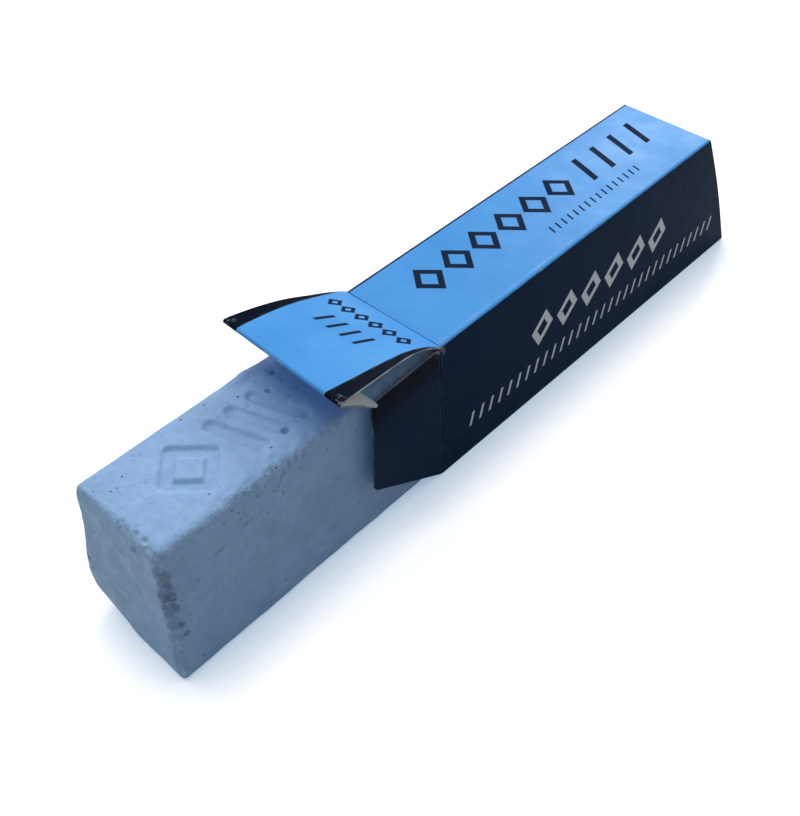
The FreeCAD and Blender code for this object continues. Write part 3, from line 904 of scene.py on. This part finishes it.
def make_sleeve(finishes):
    """Sleeve of four panels round the bar: the section carried from the mouth to the leaning closed end.
    Each panel bows outwards a little between its creases, by sines along and across it."""
    near, facing = girth(0.0)
    far, facing_far = girth(1.0)
    around = np.concatenate([[0.0], np.cumsum(np.linalg.norm(np.diff(near, axis=0), axis=1))])
    on_top = (facing[:, 1] > 0.99)
    across = around - around[on_top].mean()
    share = np.linspace(0.0, 1.0, 96)

    def layer(depth):
        first, last = near - facing * depth, far - facing_far * depth
        crosswise = first[:, None, :] + (last - first)[:, None, :] * share[None, :, None]
        finish = end_x(far[:, 0], far[:, 1]) - 0.55 * on_top
        x = share[None, :] * finish[:, None]
        return np.concatenate([x[..., None], crosswise], axis=-1)

    outside, inside = layer(0.0), layer(board)
    flat = outside.reshape(-1, 3)
    girth_place = np.repeat(across[:, None], len(share), axis=1)
    span = np.clip(np.abs(girth_place) / half, 0.0, 1.0)
    wall = np.clip((np.abs(girth_place) - half) / carton_height, 0.0, 1.0)
    bow = np.where(np.abs(girth_place) < half, np.cos(span * math.pi / 2), np.sin(wall * math.pi))
    lengthwise = np.sin(np.clip(share, 0, 1) * math.pi)[None, :] ** 0.5
    lift = bow * lengthwise * 0.16 + bow * 0.10 * unevenness(flat, 21.0, 31).reshape(bow.shape)
    low = outside[..., 2] < 1.0
    lift = np.where(low, 0.0, lift)
    normal = np.concatenate([np.zeros((len(near), 1)), facing], axis=1)[:, None, :]
    outside = outside + normal * lift[..., None]
    inside = inside + normal * lift[..., None]

    # The right wall's cut end stands out in a shallow curve between top and foot.
    right = (girth_place < -half) & (girth_place > -half - carton_height - 0.5)
    curve = np.where(right, np.sin(wall * math.pi), 0.0) * soft_step((share[None, :] - 0.8) / 0.2) * 0.8
    curve += np.where(right, wall, 0.0) * soft_step((share[None, :] - 0.6) / 0.4) * 0.9
    outside[..., 0] += curve
    inside[..., 0] += curve

    along = outside[..., 0]
    to_fold = np.minimum(np.abs(np.abs(girth_place) - half), np.abs(girth_place + half + carton_height))
    to_end = np.minimum(along, end_x(outside[..., 1], outside[..., 2]) - along)
    edge = np.minimum(to_fold, to_end + 0.1)
    return slab("carton_sleeve", outside, inside, along, girth_place, edge, finishes)


def sheet_strip(profile, widths_low, widths_high, columns):
    """Grid of a strip: its section line in x and z, and between the two side values of y at each station."""
    share = np.linspace(0.0, 1.0, columns)[None, :]
    y = widths_low[:, None] + (widths_high - widths_low)[:, None] * share
    grid = np.empty(y.shape + (3,))
    grid[..., 0] = profile[:, 0][:, None]
    grid[..., 1] = y
    grid[..., 2] = profile[:, 1][:, None]
    return grid


def make_end(finishes):
    """Closed end: from the top panel's end crease down the leaning end, then the tongue along the bottom."""
    foot = board + board_gap
    top = end_x(0.0, carton_height)
    low = end_x(0.0, foot)
    corners = [(top - 0.55, carton_height), (top, carton_height), (low, foot), (low - end_tongue, foot)]
    columns = 28
    line, facing = creased_line(corners, 0.5, [2, 44, 16], 6)
    x_share = np.clip((carton_height - line[:, 1]) / carton_height, 0.0, 1.0)
    clear = board + board_gap
    high_y = left_y(line[:, 1]) - clear
    low_y = right_y(carton_length, line[:, 1]) + clear
    tongue = np.maximum(0.0, (low - line[:, 0]) - 6.0) / 8.0 * (line[:, 1] < foot + 0.01)
    taper = 1.2 * np.clip(tongue, 0.0, 1.0)
    outside = sheet_strip(line, low_y + taper, high_y - taper, columns)
    inside = sheet_strip(line - facing * board, low_y + taper, high_y - taper, columns)
    for grid in (outside, inside):
        grid[..., 0] += end_skew * grid[..., 1] / carton_width
    bow = np.sin(x_share * math.pi)[:, None] * np.cos(outside[..., 1] / 16.5 * math.pi / 2) * 0.25
    outside[..., 0] += bow
    inside[..., 0] += bow
    travel = np.concatenate([[0.0], np.cumsum(np.linalg.norm(np.diff(line, axis=0), axis=1))])
    along = np.repeat((carton_length + travel)[:, None], columns, axis=1)
    across = np.where(travel[:, None] < 0.5, outside[..., 1], 60.0 + outside[..., 1])
    side = np.minimum(outside[..., 1] - low_y[:, None], high_y[:, None] - outside[..., 1])
    edge = np.minimum(np.abs(travel[:, None] - 0.6), side + 0.2)
    return slab("carton_end_panel", outside, inside, along, across, edge, finishes)


def through_points(given, count):
    """Smooth line through the given points: cubic pieces whose slopes at a point follow its neighbours."""
    given = np.array(given)
    size = np.linalg.norm(np.diff(given, axis=0), axis=1)
    at = np.concatenate([[0.0], np.cumsum(size)])
    slope = np.gradient(given, at, axis=0)
    slope[0] = 2 * (given[1] - given[0]) / size[0] - slope[1]
    slope[-1] = 2 * (given[-1] - given[-2]) / size[-1] - slope[-2]
    want = np.linspace(0.0, at[-1], count)
    i = np.clip(np.searchsorted(at, want, side="right") - 1, 0, len(size) - 1)
    t = ((want - at[i]) / size[i])[:, None]
    h = size[i][:, None]
    return ((2 * t ** 3 - 3 * t ** 2 + 1) * given[i] + (t ** 3 - 2 * t ** 2 + t) * h * slope[i]
            + (3 * t ** 2 - 2 * t ** 3) * given[i + 1] + (t ** 3 - t ** 2) * h * slope[i + 1])


def lid_line(profile, free_end):
    """Middle of the board from crease to tongue end: the lid's curve, the front fold's arc, the tongue."""
    line = through_points(profile, lid_rows)
    way = line[-1] - line[-2]
    heading = math.atan2(way[1], way[0])
    centre = line[-1] + fold_radius * np.array([math.sin(heading), -math.cos(heading)])
    down = math.atan2(centre[1] - free_end[1], free_end[0] - centre[0])
    angles = heading + math.pi / 2 - (heading + down) * np.linspace(0.0, 1.0, fold_rows + 1)[1:]
    arc = centre + fold_radius * np.stack([np.cos(angles), np.sin(angles)], axis=1)
    tongue = arc[-1] + (np.array(free_end) - arc[-1]) * np.linspace(0.0, 1.0, tongue_rows + 1)[1:, None]
    return np.concatenate([line, arc, tongue])


def make_lid(finishes):
    """Lid, front fold and tongue as one sheet, ruled between its two side edges, which flare past the walls.
    The tongue's free corners are drawn in along a quarter circle."""
    columns = 60
    tongue_start = lid_rows + fold_rows
    sides = []
    for profile, free_end, hand in ((lid_right, tongue_right, -1), (lid_left, tongue_left, 1)):
        line = lid_line(profile, free_end)
        way = np.gradient(line, axis=0)
        facing = np.stack([-way[:, 1], way[:, 0]], axis=1) / np.linalg.norm(way, axis=1)[:, None]
        reach = line[:, 0] / profile[-1][0]
        reach[tongue_start:] = np.maximum(reach[tongue_start:], tongue_least_reach)
        y = hand * (half + lid_flare * reach)
        sides.append((line, facing, y))
    share = np.linspace(0.0, 1.0, columns)[None, :, None]
    rows = len(sides[0][0])

    travel = np.concatenate([[0.0], np.cumsum(np.linalg.norm(np.diff(sides[0][0], axis=0), axis=1))])
    to_free = travel[-1] - travel
    into_corner = np.clip(tongue_corner - to_free, 0.0, tongue_corner)
    drawn = tongue_corner - np.sqrt(tongue_corner ** 2 - into_corner ** 2)
    on_tongue = np.arange(rows) >= tongue_start

    def layer(depth):
        edges = []
        for line, facing, y in sides:
            section = line - facing * depth
            edges.append(np.stack([-section[:, 0], y - np.sign(y) * drawn * on_tongue,
                                   carton_height - board / 2 + section[:, 1]], axis=1))
        return edges[0][:, None, :] + (edges[1] - edges[0])[:, None, :] * share

    outside, inside = layer(-board / 2), layer(board / 2)
    flat = outside.reshape(-1, 3)
    fade = soft_step(travel / 6.0)[:, None]
    lift = fade * 0.10 * unevenness(flat, 9.0, 61).reshape(rows, columns)
    outside[..., 2] += lift
    inside[..., 2] += lift
    along = -np.repeat(travel[:, None], columns, axis=1)
    across = outside[..., 1]
    side = np.minimum(across - sides[0][2][:, None], sides[1][2][:, None] - across)
    fold = np.abs(travel[:, None] - travel[lid_rows + fold_rows // 2])
    edge = np.minimum(np.minimum(side + 0.25, fold), travel[:, None] + 0.1)
    return slab("carton_lid", outside, inside, along, across, edge, finishes)


def make_mouth_flap(name, hand, finishes):
    """Dust flap on one of the mouth's upright creases, swung a few degrees open and bent a little outwards.
    Its lower edge rises to the front, and its two front corners are drawn in along quarter circles."""
    rows, columns = 40, 46
    a = np.linspace(0.0, 1.0, rows)[:, None]
    b = np.linspace(0.0, 1.0, columns)[None, :]
    top = carton_height - board - flap_head_gap
    front = flap_low_length + (flap_top_length - flap_low_length) * b
    out = a * front
    rise = np.clip((out - flap_low_start) / (flap_low_length - flap_low_start), 0.0, 1.0)
    low = flap_foot + (flap_low_front - flap_foot) * rise
    high = top - flap_nick * (1 - np.clip(out / flap_nick, 0.0, 1.0)) + flap_top_rise * out / flap_top_length
    near_front = np.clip((out - (front - flap_corner)) / flap_corner, 0.0, 1.0)
    drawn = flap_corner * (1 - np.sqrt(1 - near_front ** 2))
    z = (low + drawn) + (high - low - 2 * drawn) * b
    wall = left_y(z) if hand > 0 else right_y(0.0, z)
    bend = flap_bend * (out / front) ** 2 * np.sin(b * math.pi)
    y = wall + hand * (math.tan(flap_opening) * out + bend)
    slope = math.tan(flap_opening)
    normal = np.array([-slope, hand, 0.0])
    normal /= np.linalg.norm(normal)
    outside = np.stack([-out, y, z + 0 * out], axis=-1)
    inside = outside - normal * board
    across = hand * (half + carton_height - z)
    side = np.minimum(np.minimum(front - out, z - low), high - z)
    edge = np.minimum(side + 0.3, out)
    return slab(name, outside, inside, -out, across, edge, finishes)


def make_end_flap(name, hand, finishes):
    """Dust flap of the closed end, folded across behind the end panel."""
    rows, columns = 14, 30
    a = np.linspace(0.0, 1.0, rows)[:, None]
    b = np.linspace(0.0, 1.0, columns)[None, :]
    z = end_flap_foot + (carton_height - board - end_flap_trim - end_flap_foot) * b + 0 * a
    wall = left_y(z) - board if hand > 0 else right_y(carton_length, z) + board
    y = wall - hand * end_flap_length * a
    x = end_x(y, z) - (board + flap_head_gap) * lean_depth
    outside = np.stack([x, y, z], axis=-1)
    inside = outside - np.array([board * lean_depth, 0.0, 0.0])
    edge = np.full(z.shape, 2.0)
    return slab(name, outside, inside, x, hand * 60.0 + 0 * z, edge, finishes)


def make_carton():
    # All pieces but the lid take a darker copy of the cut finish and the lid a paler one: painted shade and
    # painted light over the soil pattern of each.
    shaded_soiled_cut = cut_finish("cut_edge_shaded_soiled", shade(138, 150, 162), shade(52, 66, 86))
    finishes = [print_finish("printed_board_blue", 0.05), bare_finish(), shaded_soiled_cut,
                print_finish("printed_board_dark", 0.010)]
    lit_clean_cut = cut_finish("cut_edge_lit_clean", shade(218, 228, 236), shade(128, 142, 158))
    make_sleeve(finishes)
    make_end(finishes)
    make_lid(finishes[:2] + [lit_clean_cut] + finishes[3:])
    make_mouth_flap("carton_dust_flap_right", -1, finishes)
    make_mouth_flap("carton_dust_flap_left", 1, finishes)
    make_end_flap("carton_end_flap_right", -1, finishes)
    make_end_flap("carton_end_flap_left", 1, finishes)


def make_bench():
    """Plain white floor. It takes the lamps as any floor does, and glows for the camera's own rays and for
    reflections so that the open floor is white. Close to the part, ambient occlusion dims this glow to a dark
    blue: a painted contact shadow over the lamps' own shadow."""
    size = 3.0
    floor_colour = (0.54, 0.50, 0.44, 1.0)
    painted_shadow_glow, open_glow, far_glow = (0.27, 0.38, 0.52, 1.0), (0.84, 0.86, 0.90, 1.0), (1.0, 1.0, 1.0, 1.0)
    glow_turns_white = (0.22, 0.80)
    contact_reach = 0.013
    mesh = bpy.data.meshes.new("bench")
    corners = [(-size, -size, 0), (size, -size, 0), (size, size, 0), (-size, size, 0)]
    mesh.from_pydata(corners, [], [(0, 1, 2, 3)])
    bench = bpy.data.objects.new("bench", mesh)
    bpy.context.scene.collection.objects.link(bench)
    f = Finish("bench_white")
    f.shader.inputs["Roughness"].default_value = 0.9
    f.shader.inputs["Specular IOR Level"].default_value = 0.1
    f.shader.inputs["Base Color"].default_value = floor_colour
    rays = f.nodes.new("ShaderNodeLightPath")
    seen = f.most(rays.outputs["Is Camera Ray"], rays.outputs["Is Glossy Ray"])
    seen = f.most(seen, rays.outputs["Is Transmission Ray"])
    away = f.nodes.new("ShaderNodeVectorMath")
    away.operation = "LENGTH"
    f.put(away.inputs[0], f.place())
    far = f.between(away.outputs["Value"], *glow_turns_white)
    # Painted shadow: ambient occlusion dims the floor's glow close to the part, to a dark blue.
    shadow_occlusion = f.nodes.new("ShaderNodeAmbientOcclusion")
    shadow_occlusion.samples = 4
    shadow_occlusion.inputs["Distance"].default_value = contact_reach
    open_floor = f.between(shadow_occlusion.outputs["AO"], 0.5, 1.0)
    close = f.blend(open_floor, painted_shadow_glow, open_glow)
    f.put(f.shader.inputs["Emission Color"], f.blend(far, close, far_glow))
    f.put(f.shader.inputs["Emission Strength"], seen)
    mesh.materials.append(f.material)


def make_lamp(name, place, aim, size, power, colour):
    """A square soft lamp at a place, turned to face a point."""
    data = bpy.data.lights.new(name, "AREA")
    data.shape = "SQUARE"
    data.size = size
    data.energy = power
    data.color = colour
    lamp = bpy.data.objects.new(name, data)
    bpy.context.scene.collection.objects.link(lamp)
    lamp.location = place
    lamp.rotation_mode = "QUATERNION"
    lamp.rotation_quaternion = (Vector(aim) - Vector(place)).to_track_quat("-Z", "Y")


def make_light():
    """Two soft lamps high on the left and behind, and an even pale sky that the camera sees as white."""
    make_lamp("window", (0.14, 0.72, 0.95), (0.0, 0.0, 0.02), 1.0, 9.0, (1.0, 1.0, 1.0))
    make_lamp("far_window", (1.70, 0.85, 1.05), (0.03, 0.0, 0.03), 0.48, 18.0, (0.90, 0.97, 1.0))
    world = bpy.data.worlds.new("studio")
    bpy.context.scene.world = world
    world.use_nodes = True
    nodes, links = world.node_tree.nodes, world.node_tree.links
    nodes.clear()
    out = nodes.new("ShaderNodeOutputWorld")
    rays = nodes.new("ShaderNodeLightPath")
    sky = nodes.new("ShaderNodeBackground")
    sky.inputs["Color"].default_value = (0.88, 0.96, 1.0, 1.0)
    sky.inputs["Strength"].default_value = 0.37
    white = nodes.new("ShaderNodeBackground")
    white.inputs["Color"].default_value = (1.0, 1.0, 1.0, 1.0)
    mix = nodes.new("ShaderNodeMixShader")
    links.new(rays.outputs["Is Camera Ray"], mix.inputs[0])
    links.new(sky.outputs[0], mix.inputs[1])
    links.new(white.outputs[0], mix.inputs[2])
    links.new(mix.outputs[0], out.inputs["Surface"])


def make_camera():
    """Camera where the photograph was taken from, as fitted to the corners of bar and carton."""
    azimuth, elevation, roll = math.radians(43.8978), math.radians(45.6993), math.radians(1.5711)
    target = Vector((-1.4159, -3.1404, 15.0))
    distance = 226.938
    focal_pixels, image_width, image_height = 992.084, 800, 816
    back = Vector((-math.cos(azimuth) * math.cos(elevation), -math.sin(azimuth) * math.cos(elevation),
                   math.sin(elevation)))
    eye = target + back * distance
    right = (-back).cross(Vector((0, 0, 1))).normalized()
    down = (-back).cross(right)
    tilted_right = math.cos(roll) * right + math.sin(roll) * down
    tilted_down = math.cos(roll) * down - math.sin(roll) * right
    data = bpy.data.cameras.new("camera")
    data.sensor_width = 36.0
    data.lens = focal_pixels * data.sensor_width / image_height
    data.clip_start = 0.01
    data.clip_end = 20.0
    data.shift_y = (407.37 - image_height / 2) / image_height
    camera = bpy.data.objects.new("camera", data)
    bpy.context.scene.collection.objects.link(camera)
    turn = Matrix((tilted_right, -tilted_down, back)).transposed().to_4x4()
    place = Matrix.Translation((eye / 1000) + Vector((mouth_x, 0.0, 0.0)))
    camera.matrix_world = place @ turn
    bpy.context.scene.camera = camera


make_camera()
make_light()
make_bench()
make_bar()
make_carton()
bpy.context.scene.view_settings.view_transform = "Standard"
